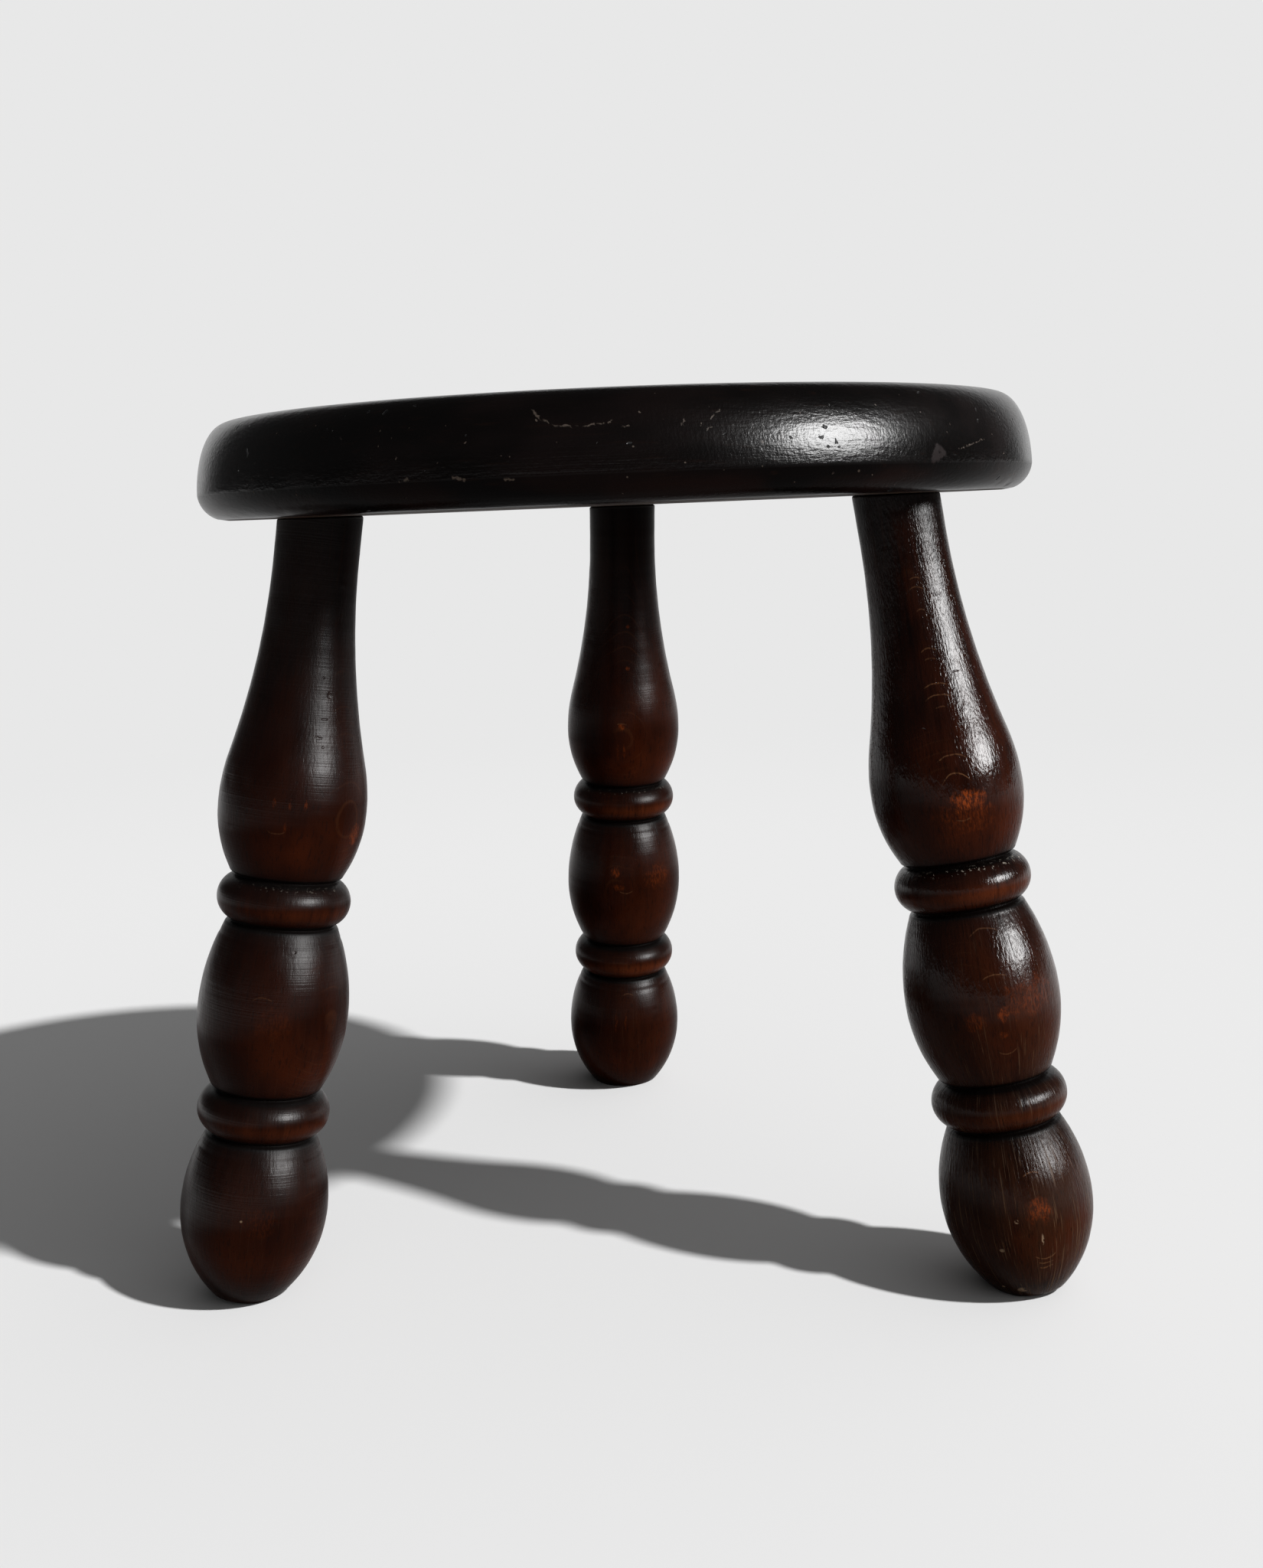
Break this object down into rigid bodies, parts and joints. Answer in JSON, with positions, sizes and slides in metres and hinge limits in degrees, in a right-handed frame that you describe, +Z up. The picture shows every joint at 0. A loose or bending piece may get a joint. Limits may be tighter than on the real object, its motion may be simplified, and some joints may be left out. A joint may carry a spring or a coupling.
{
  "type": "tripod stool",
  "caption": "Low wooden tripod stool: a round plank seat with a soft rounded edge on splayed, turned legs with vase, ring and barrel turnings, staked through the seat and wedged.",
  "frame": {"origin": "the point on the floor under the middle of the round seat", "axes": "+Z up, +Y towards the rear leg, +X to the right when the stool is seen from its front, between the front legs"},
  "size_m": [0.2948, 0.2843, 0.2809],
  "materials": {
    "seat_wood": "near-black brown stain under worn satin lacquer",
    "leg_wood": "dark red-brown stained beech under glossy lacquer",
    "wedge_wood": "dark stained hardwood end grain"
  },
  "bodies": {
    "root": {"seat": "seat_wood", "leg_rear": "leg_wood", "leg_left": "leg_wood", "leg_right": "leg_wood", "wedge_rear": "wedge_wood", "wedge_left": "wedge_wood", "wedge_right": "wedge_wood"}
  },
  "joints": []
}
